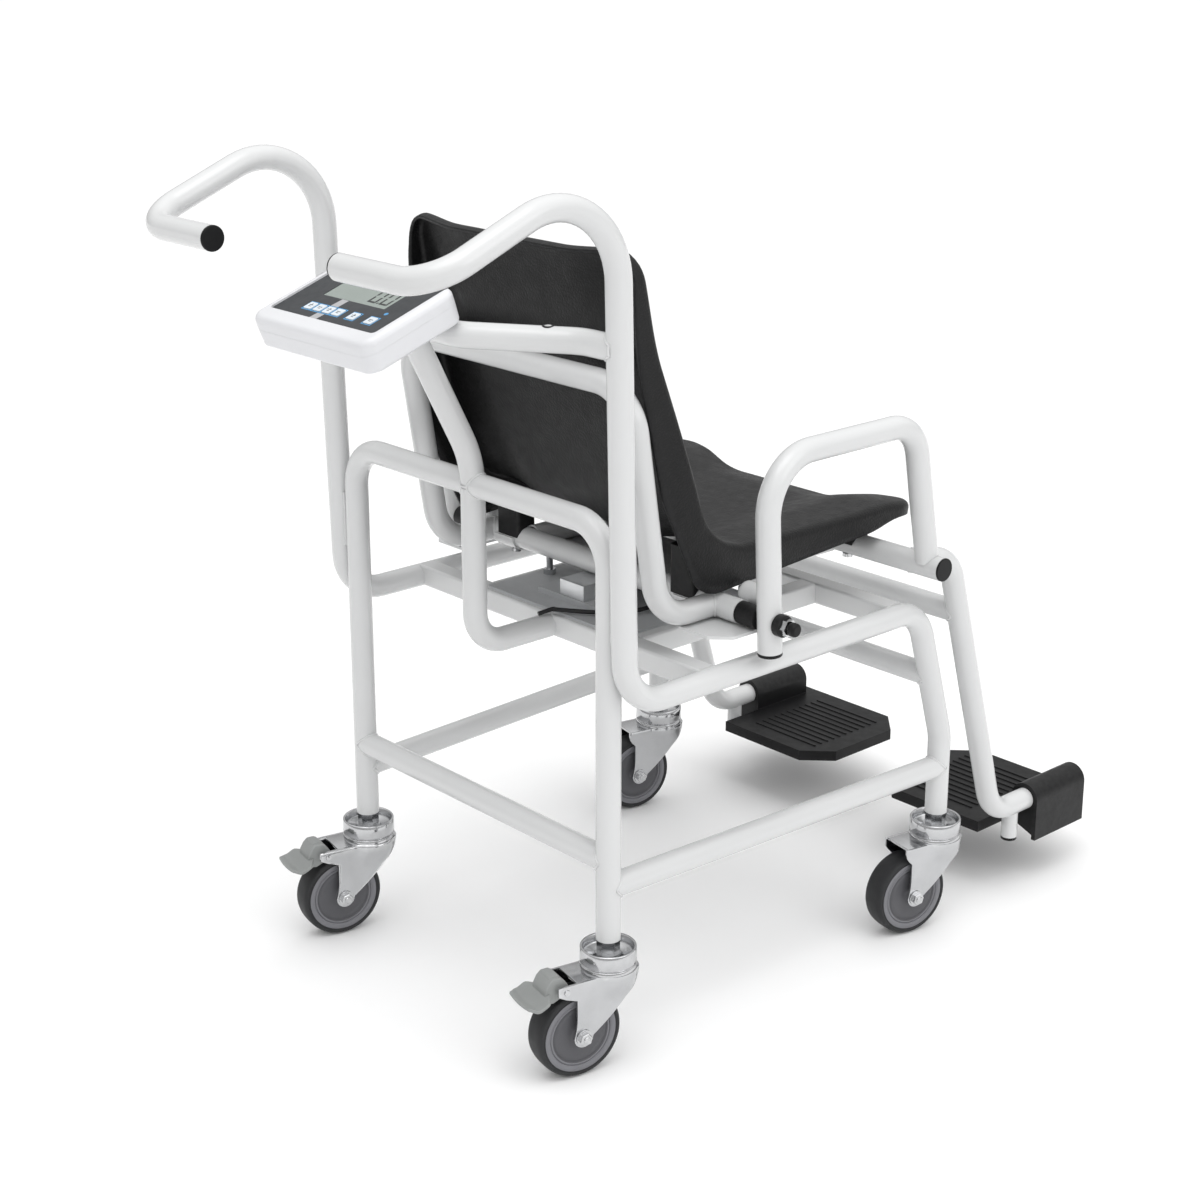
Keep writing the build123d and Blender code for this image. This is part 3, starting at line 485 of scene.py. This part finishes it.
def seat_point(i, j):
    """Grid place to (x, arc length) on a face with rounded corners."""
    x = -INNER_HALF + 2 * INNER_HALF * i / COLS
    s = LENGTH * j / ROWS
    r = SEAT_CORNER
    upper = s > LENGTH / 2
    a = (abs(x) - (INNER_HALF - r)) / r
    b = (s - (LENGTH - r)) / r if upper else (r - s) / r
    if a > 0 and b > 0:
        # the square corner is pressed into a quarter circle
        round_a, round_b = a * math.sqrt(1 - b * b / 2), b * math.sqrt(1 - a * a / 2)
        x = math.copysign(INNER_HALF - r + round_a * r, x)
        s = LENGTH - r + round_b * r if upper else r - round_b * r
    return x, s


def horn(x, s):
    """The front corners run forward of the middle and lift a little; the top corners curl forward."""
    aside = smooth_step((abs(x) - 90) / 100)
    front = aside * smooth_step((90 - s) / 90)
    top = aside * smooth_step((s - LENGTH + 120) / 120)
    return Vector((0, -17 * front - 12 * top, 3 * front + 4 * top))


def seat_place(x, s):
    """Point of the dished face."""
    p, n, _ = on_seat(s)
    aside = INNER_HALF - abs(x)
    inside = min(aside, LENGTH - s)
    back = smooth_step((p.y - BACK_START) / 120)
    # the back is hollow; the pan sags between its sides right out to the front edge
    deep = 13.0 * back * smooth_step(inside / 95.0) + 12.0 * (1 - back) * smooth_step((aside - 44) / 80.0)
    deep += 4.0 * smooth_step(inside / 150.0) * math.exp(-(((p.x + 10) / 110) ** 2)) * (1 - back)
    taper = 1 - 0.075 * smooth_step((p.y - 600) / 260)
    return Vector((x * taper, p.x - n.x * deep, p.y - n.y * deep)) + horn(x, s)


def seat_shape():
    """The dished face, its edge rolled back through a quarter turn, and the skirt behind the roll."""
    verts = [seat_place(*seat_point(i, j)) for j in range(ROWS + 1) for i in range(COLS + 1)]
    faces = grid_faces(ROWS, COLS)
    border = [(i, 0) for i in range(COLS)] + [(COLS, j) for j in range(ROWS)]
    border += [(i, ROWS) for i in range(COLS, 0, -1)] + [(0, j) for j in range(ROWS, 0, -1)]
    flat = [Vector(seat_point(i, j)) for i, j in border]
    count = len(border)
    loops = [[j * (COLS + 1) + i for i, j in border]]
    for k in range(1, ROLL_STEPS + SKIRT_STEPS + 1):
        angle = min(k, ROLL_STEPS) / ROLL_STEPS * math.pi / 2
        out = SEAT_ROLL * math.sin(angle)
        row = []
        for b, (x, s) in enumerate(flat):
            tangent = flat[(b + 1) % count] - flat[b - 1]
            outward = Vector((tangent.y, -tangent.x)).normalized()
            _, n, d = on_seat(s)
            drop = SEAT_ROLL * (1 - math.cos(angle))
            if k > ROLL_STEPS:
                drop += rim_depth(s) * (k - ROLL_STEPS) / SKIRT_STEPS
            lean = outward.y * out
            row.append(len(verts))
            shift = Vector((outward.x * out, d.x * lean - n.x * drop, d.y * lean - n.y * drop))
            verts.append(seat_place(x, s) + shift)
        loops.append(row)
    for a, b in zip(loops, loops[1:]):
        for c in range(count):
            e = (c + 1) % count
            faces.append((a[c], b[c], b[e], a[e]))
    return verts, faces


seat = add_mesh("seat_moulding", laid_out(seat_shape()), "base_frame", "seat_black")
thicken(seat, SEAT_WALL, -1)
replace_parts(seat, "seat_shell")

# ---------------------------------------------------------------- wheels
WHEEL_TURNS = 112
# half profiles as (radius, half width), from the inside outwards
TYRE_HALF = [(36.05, 13.4), (36.6, 14.6), (42.6, 14.9), (43.2, 14.2), (44.0, 14.2), (44.6, 14.9),
             (46.2, 15.2), (47.8, 14.2), (49.0, 12.2), (49.6, 9.0), (49.9, 5.0), (50.0, 1.0)]
CORE_HALF = [(4.2, 17.7), (7.6, 17.7), (8.2, 17.2), (8.6, 13.6), (10.5, 12.4), (14, 12.0), (26, 12.6),
             (30.6, 13.4), (31.4, 12.4), (32.6, 12.4), (33.4, 13.9), (35.4, 13.9), (35.9, 13.2)]


def tyre_ring(point):
    """Profile point on the light side band of the tyre."""
    return point[0] < 42.7 and abs(point[1]) > 13


def core_ring(point):
    """Profile point on the light outer ring of the wheel centre."""
    return point[0] > 33


def wheel_piece(name, half, corner, slot, in_ring):
    """A profile and its mirror spun round the wheel's axle, with its light ring painted."""
    loop = half + [(r, -o) for r, o in reversed(half)]
    spin = joints[f"wheel_{corner}_spin"]
    shape = turned(loop, spin["pos_m"], spin["axis"], WHEEL_TURNS, guide=UP)
    obj = add_mesh(f"{name}_{corner}", shape, f"wheel_{corner}", slot, paints=[MATERIALS[slot], RING_GREY])
    ringed = [in_ring(p) and in_ring(q) for p, q in zip(loop, loop[1:] + loop[:1])]
    for poly in obj.data.polygons:
        poly.material_index = int(ringed[poly.index % len(loop)])
    return obj


for corner in CORNERS:
    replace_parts(wheel_piece("tyre_ring", TYRE_HALF, corner, "tyre_grey", tyre_ring), f"tyre_{corner}")
    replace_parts(wheel_piece("wheel_disc", CORE_HALF, corner, "wheel_grey", core_ring), f"wheel_core_{corner}")

# ---------------------------------------------------------------- caster forks and brake pedals
# a fork is laid out as u behind the stem along the trail, w across, z above the floor
AXLE_U = 42
AXLE_Z = 50
EYE_R = 11.5
FORK_TOP = 113
SHEET_TOP = 115
SHEET = 2.6
CHEEK_FLAT = 20.3
CHEEK_ROUND = 30.2
CHEEK_LEVELS = [SHEET_TOP - 5.0 * k for k in range(13)] + [50, 46, 43, 41, 39.6, 38.7, 38.5]
CHEEK_COLS = 24
NOSE_ROWS = 8
NOSE_COLS = 16
NOSE_STEP = 3
CUP = [(24, 108), (30.0, 108), (30.5, 108.6), (30.5, 118.8), (29.9, 119.5), (28.6, 119.7), (28.6, 121.1),
       (29.9, 121.2), (30.5, 121.9), (30.5, 137.1), (29.8, 138), (28.4, 138), (27.6, 137.2), (27.4, 130),
       (26.4, 127.4), (10.2, 127), (10.2, 112), (24, 112)]
NUT = [(0.01, 0), (7.2, 0), (7.4, 0.3), (7.4, 4.6), (6.6, 5.4), (0.01, 5.4)]
WASHER_THICK = 1.4
WASHER = [(3.9, 0), (8.8, 0), (9.0, 0.2), (9.0, 1.2), (8.8, WASHER_THICK), (3.9, WASHER_THICK)]
BOLT_TIP = [(0.01, 0), (4.0, 0), (4.0, 7.4), (3.3, 8.2), (0.01, 8.2)]
AXLE = [(0.01, -19), (4, -19), (4, 19), (0.01, 19)]
PEDAL_PIN = [(0.01, 0), (3.6, 0), (3.2, 1.4), (0.01, 1.9)]
PEDAL_BLOCK = [(56, 105), (59, 101.5), (74, 95), (82, 96), (85, 103), (84, 111), (80, 118.5), (75, 123),
               (66, 123), (60, 118), (56, 112)]
PEDAL_RIDGE = [(65, 124.0), (74.5, 124.2), (77, 122), (76, 119), (65, 119)]
LIP_START = 78
LIP_REACH = 31
LIP_ROWS = 16
LIP_COLS = 20


def fork_spot(corner):
    """Function from (u, w, z) of one fork to the frame's metres."""
    swivel = Vector(joints[f"caster_{corner}_swivel"]["pos_m"])
    wheel = Vector(joints[f"wheel_{corner}_spin"]["pos_m"])
    trail = Vector((wheel.x - swivel.x, wheel.y - swivel.y, 0)).normalized()
    side = Vector((0, 0, 1)).cross(trail)
    base = Vector((swivel.x, swivel.y, 0))
    return lambda u, w, z: base + (trail * u + side * w + Vector((0, 0, z))) * MM


def cheek_edges(z, end):
    """Front and rear edge of a fork cheek at height z. end is how far back its top reaches."""
    if z < AXLE_Z:
        half = math.sqrt(max(0.0, EYE_R**2 - (AXLE_Z - z) ** 2))
        return AXLE_U - half, AXLE_U + half
    z = min(z, FORK_TOP)
    t = (FORK_TOP - z) / (FORK_TOP - AXLE_Z)
    front = -22.5 + 53.0 * t**1.7
    waist = 49.5 + 4.0 * max(0.0, (74 - z) / 24) ** 2
    return front, waist + (end - waist) * smooth_step((z - 96) / 7)


def cheek_side(u, z):
    """Half width of the fork: flat beside the wheel, swelling to the round ring at the top."""
    rounded = math.sqrt(max(CHEEK_FLAT**2, CHEEK_ROUND**2 - u * u))
    return CHEEK_FLAT + (rounded - CHEEK_FLAT) * smooth_step((z - 82) / 28)


def cheek(spot, end, s):
    points = []
    for z in CHEEK_LEVELS:
        front, rear = cheek_edges(z, end)
        for k in range(CHEEK_COLS + 1):
            u = front + (rear - front) * k / CHEEK_COLS
            points.append(spot(u, s * cheek_side(u, z), z))
    return points, grid_faces(len(CHEEK_LEVELS) - 1, CHEEK_COLS, flipped=s < 0)


def nose(spot, end):
    """Rounded sheet that joins the cheeks in front of the stem."""
    points = []
    for r in range(NOSE_ROWS + 1):
        z = SHEET_TOP - NOSE_STEP * r
        front, _ = cheek_edges(z, end)
        swell = 7.7 - 0.5 * r
        for k in range(NOSE_COLS + 1):
            w = -1 + k / (NOSE_COLS / 2)
            points.append(spot(front - swell * math.sqrt(1 - w * w), w * cheek_side(front, z), z))
    return points, grid_faces(NOSE_ROWS, NOSE_COLS, flipped=True)


def block(spot, outline, half):
    """A (u, z) outline extruded to both sides."""
    return prism([spot(u, half, z) for u, z in outline], [spot(u, -half, z) for u, z in outline])


def axle_hardware(spot, braked):
    """Axle, washers, nuts and bolt tips, and the ends of the pedal's pin where there is a brake."""
    across = spot(0, 1, 0) - spot(0, 0, 0)
    hardware = [turned(AXLE, spot(AXLE_U, 0, AXLE_Z), across, 32)]
    for s in SIDES:
        outside = spot(AXLE_U, s * 21.8, AXLE_Z)
        hardware.append(turned(WASHER, outside, across * s, 40))
        hardware.append(turned(NUT, outside + across * s * WASHER_THICK, across * s, 6))
        hardware.append(turned(BOLT_TIP, outside, across * s, 24))
        if braked:
            hardware.append(turned(PEDAL_PIN, spot(62, s * 21.6, 108), across * s, 24))
    return join_lists(hardware)


def lip_shape(spot):
    """The pedal's tread: widens from the block, then narrows and turns up at its end."""
    points = []
    for r in range(LIP_ROWS + 1):
        t = r / LIP_ROWS
        u = LIP_START + LIP_REACH * t
        half = 16 + 12.0 * smooth_step(t / 0.30) - 6.0 * smooth_step((t - 0.70) / 0.30)
        height = 106 - 8.5 * smooth_step(t / 0.70) + 2.0 * smooth_step((t - 0.7) / 0.3)
        for k in range(LIP_COLS + 1):
            w = -1 + 2 * k / LIP_COLS
            points.append(spot(u - 1.5 * w * w * t, w * half, height + 1.2 * w * w * smooth_step(t / 0.5)))
    return points, grid_faces(LIP_ROWS, LIP_COLS)


def add_fork(corner, braked):
    spot = fork_spot(corner)
    body = f"caster_{corner}"
    end = 72 if braked else 58
    sheets = [cheek(spot, end, -1), cheek(spot, end, 1), nose(spot, end)]
    cheeks = add_mesh(f"fork_cheeks_{corner}", join_lists(sheets), body, "zinc", closed=False)
    thicken(cheeks, SHEET)
    soften(cheeks, 0.7, 2, 50)
    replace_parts(cheeks, f"fork_{corner}")
    add_mesh(f"fork_cup_{corner}", turned(CUP, spot(0, 0, 0), UP), body, "zinc")
    rear = 49 if braked else 55
    deck = block(spot, [(-20, 112), (rear, 112), (rear, SHEET_TOP), (-20, SHEET_TOP)], 19.2)
    soften(add_mesh(f"fork_deck_{corner}", deck, body, "zinc"), 0.6)
    add_mesh(f"fork_bolts_{corner}", axle_hardware(spot, braked), body, "zinc", smooth=False)


def add_pedal(corner):
    spot = fork_spot(corner)
    side = corner.removeprefix("rear_")
    body = f"brake_{side}"
    hub = add_mesh(f"pedal_block_{side}", block(spot, PEDAL_BLOCK, 14), body, "pedal_grey")
    soften(hub, 1.5, 4, 20)
    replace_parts(hub, f"brake_pedal_{side}")
    soften(add_mesh(f"pedal_pad_{side}", block(spot, PEDAL_RIDGE, 9), body, "pedal_grey"), 1.0, 3, 20)
    lip = add_mesh(f"pedal_lip_{side}", lip_shape(spot), body, "pedal_grey")
    thicken(lip, 3.4)
    soften(lip, 1.1, 3, 50)


for corner in CORNERS:
    rear = corner.startswith("rear")
    add_fork(corner, braked=rear)
    if rear:
        add_pedal(corner)

# ---------------------------------------------------------------- plug in the top of the display bow
PLUG_X = -162
PLUG_RING = [(3.9, -1.0), (6.2, -1.0), (6.2, 0.15), (5.8, 0.5), (4.3, 0.5), (3.9, 0.2)]
PLUG_DOME = [(0.01, -1.0), (3.8, -1.0), (3.8, 0.4), (2.4, 0.8), (0.01, 1.0)]


def bow_crown():
    """The highest point of the display bow's tube at PLUG_X, by rays from above."""
    tube = nodes["display_bow"]
    near = sorted(tube.data.vertices, key=lambda v: abs(v.co.x - PLUG_X * MM))[:24]
    middle = sum((v.co.y for v in near), 0.0) / len(near)
    best = None
    for k in range(-16, 17):
        above = Vector((PLUG_X * MM, middle + k * MM * 1.5, 2.0))
        hit, where, _, _ = tube.ray_cast(above, Vector((0, 0, -1)))
        if hit and (best is None or where.z > best.z):
            best = where.copy()
    return best


crown = bow_crown()
add_mesh("bow_plug_ring", turned(PLUG_RING, crown, UP, 40), "base_frame", "black_rubber")
add_mesh("bow_plug", turned(PLUG_DOME, crown, UP, 32), "base_frame", "white_frame")

# ---------------------------------------------------------------- display face
# laid out as x, v up the tilted face and height above it
TILT = math.radians(19.7)
FACE_O = Vector((0, 400, 818.3))
FACE_V = Vector((0, -math.cos(TILT), math.sin(TILT)))
FACE_N = Vector((0, math.sin(TILT), math.cos(TILT)))
LCD_LAYER = (-0.38, -0.30)
FOIL_LAYER = (0.01, 0.06)
BORDER_LAYER = (0.01, 0.07)
KEY_LAYER = (0.79, 0.83)
DIGIT_V = 3.5
DIGIT_W = 13.0
DIGIT_H = 25.0
STROKE = 2.6
GAP = 0.35
KEY_X = [43.0, 27.3, 11.6, -4.1, -29.5, -58.0]
KEY_V = -25
BORDER_IN, BORDER_OUT = 6.5, 7.7
DOT = (-63, -9)
DOT_R = 2.6
DOT_SIDES = 10


def plate(corners, layer):
    """Thin plate on the display face from its outline in (x, v)."""
    low, high = [[FACE_O + Vector((x, 0, 0)) + FACE_V * v + FACE_N * n for x, v in corners] for n in layer]
    return prism(low, high)


def rect(x0, x1, v0, v1, layer):
    return plate([(x0, v0), (x1, v0), (x1, v1), (x0, v1)], layer)


def zero_digit(right):
    """A 0 made of six bars. x falls towards the operator's right."""
    left = right + DIGIT_W
    middle = DIGIT_V + DIGIT_H / 2
    bars = []
    for s, v in ((-1, DIGIT_V + DIGIT_H), (1, DIGIT_V)):
        inner = v + s * STROKE
        bars.append([(left - GAP, v), (right + GAP, v), (right + STROKE, inner), (left - STROKE, inner)])
        for x, x_inner in ((right, right + STROKE), (left, left - STROKE)):
            bars.append([(x, v + s * GAP), (x, middle - s * GAP), (x_inner, middle - s * STROKE * 0.7),
                         (x_inner, inner + s * GAP)])
    return [plate(bar, LCD_LAYER) for bar in bars]


def key_border(x):
    a, b = BORDER_IN, BORDER_OUT
    return [
        rect(x - b, x + b, KEY_V + a, KEY_V + b, BORDER_LAYER),
        rect(x - b, x + b, KEY_V - b, KEY_V - a, BORDER_LAYER),
        rect(x - b, x - a, KEY_V - a, KEY_V + a, BORDER_LAYER),
        rect(x + a, x + b, KEY_V - a, KEY_V + a, BORDER_LAYER),
    ]


def key_mark(number, x):
    """Two bars, and a stem on the odd keys."""
    marks = [rect(x - 3.2, x + 3.2, -24.6, -23.6, KEY_LAYER), rect(x - 2.0, x + 2.0, -27.0, -26.0, KEY_LAYER)]
    if number % 2:
        marks.append(rect(x - 0.5, x + 0.5, -23.6, -21.4, KEY_LAYER))
    return marks


def add_print(name, plates, paint, body="base_frame"):
    add_mesh(name, laid_out(join_lists(plates)), body, "foil_grey", paints=[paint], smooth=False)


decimal_point = rect(-32.0, -29.9, DIGIT_V, 6.0, LCD_LAYER)
unit_bars = [rect(44.0, 48.0, v, v + 1.0, LCD_LAYER) for v in (28.0, 25.6)]
add_print("lcd_digits", [*zero_digit(-46.5), *zero_digit(-28.0), decimal_point, *unit_bars], INK)
band = [
    plate([(6.5, -2.9), (17.5, -2.9), (19.0, -17.0), (7.5, -17.0)], FOIL_LAYER),
    plate([(9.3, -33.0), (20.8, -33.0), (22.0, -44.4), (10.5, -44.4)], FOIL_LAYER),
]
add_print("foil_band", band, BAND_SILVER)
dot_angles = [2 * math.pi * k / DOT_SIDES for k in range(DOT_SIDES)]
dot = plate([(DOT[0] + DOT_R * math.cos(a), DOT[1] + DOT_R * math.sin(a)) for a in dot_angles], FOIL_LAYER)
add_print("key_borders", [border for x in KEY_X for border in key_border(x)] + [dot], KEY_BLUE)
for number, x in enumerate(KEY_X, 1):
    add_print(f"key_mark_{number}", key_mark(number, x), INK, f"key_{number}_body")

# ---------------------------------------------------------------- floor, light and camera
FLOOR_HALF = 60.0
FLOOR_DROP = 0.0002  # metres below the tyres
WHITE = (1, 1, 1, 1)
GLOW_LOW, GLOW_HIGH = 0.36, 1.52  # the studio's light at the horizon and overhead
GLOW_LEFT, GLOW_RIGHT = 1.25, 0.70  # its strength towards -X and +X


def add_floor():
    mesh = bpy.data.meshes.new("floor")
    corners = [(-FLOOR_HALF, -FLOOR_HALF, 0), (FLOOR_HALF, -FLOOR_HALF, 0), (FLOOR_HALF, FLOOR_HALF, 0),
               (-FLOOR_HALF, FLOOR_HALF, 0)]
    mesh.from_pydata(corners, [], [(0, 1, 2, 3)])
    mesh.materials.append(FLOOR)
    obj = bpy.data.objects.new("floor", mesh)
    scene.collection.objects.link(obj)
    obj.location.z = -FLOOR_DROP


def studio_world():
    """White for the camera; for everything else a glow that grows upwards and falls off to one side."""
    world = bpy.data.worlds.new("studio")
    scene.world = world
    world.use_nodes = True
    sky = world.node_tree
    new, link = sky.nodes.new, sky.links.new
    parts = new("ShaderNodeSeparateXYZ")
    link(new("ShaderNodeTexCoord").outputs["Generated"], parts.inputs["Vector"])
    glow = new("ShaderNodeMath")
    glow.operation = "MULTIPLY"
    link(map_range(sky, parts.outputs["Z"], 0.0, 1.0, GLOW_LOW, GLOW_HIGH), glow.inputs[0])
    link(map_range(sky, parts.outputs["X"], -1.0, 1.0, GLOW_LEFT, GLOW_RIGHT), glow.inputs[1])
    lit = sky.nodes["Background"]
    lit.inputs["Color"].default_value = WHITE
    link(glow.outputs["Value"], lit.inputs["Strength"])
    seen = new("ShaderNodeBackground")
    seen.inputs["Color"].default_value = WHITE
    seen.inputs["Strength"].default_value = 1.0
    choose = new("ShaderNodeMixShader")
    link(new("ShaderNodeLightPath").outputs["Is Camera Ray"], choose.inputs["Fac"])
    link(lit.outputs["Background"], choose.inputs[1])
    link(seen.outputs["Background"], choose.inputs[2])
    link(choose.outputs["Shader"], sky.nodes["World Output"].inputs["Surface"])


def area_light(name, place, target, size, power):
    light = bpy.data.lights.new(name, "AREA")
    light.shape = "DISK"
    light.size = size
    light.energy = power
    obj = bpy.data.objects.new(name, light)
    scene.collection.objects.link(obj)
    obj.location = place
    obj.rotation_euler = (Vector(target) - Vector(place)).to_track_quat("-Z", "Y").to_euler()


def add_camera():
    camera = bpy.data.cameras.new("camera")
    camera.sensor_width = 36
    camera.lens = 63.77
    camera.shift_y = -0.06
    camera.clip_start = 0.05
    camera.clip_end = 200
    eye = bpy.data.objects.new("camera", camera)
    scene.collection.objects.link(eye)
    eye.location = Vector((-1.7135, 1.6162, 1.2264)) + LAYOUT
    eye.rotation_euler = (math.radians(72.83), 0, math.radians(227.975))
    scene.camera = eye


add_floor()
scene.view_settings.view_transform = "Standard"
studio_world()
area_light("key_light", (-0.6, 0.8, 3.2), (0, 0, 0.4), 2.2, 22)
area_light("side_light", (-3.0, -0.6, 1.8), (0, 0, 0.5), 1.8, 10)
add_camera()
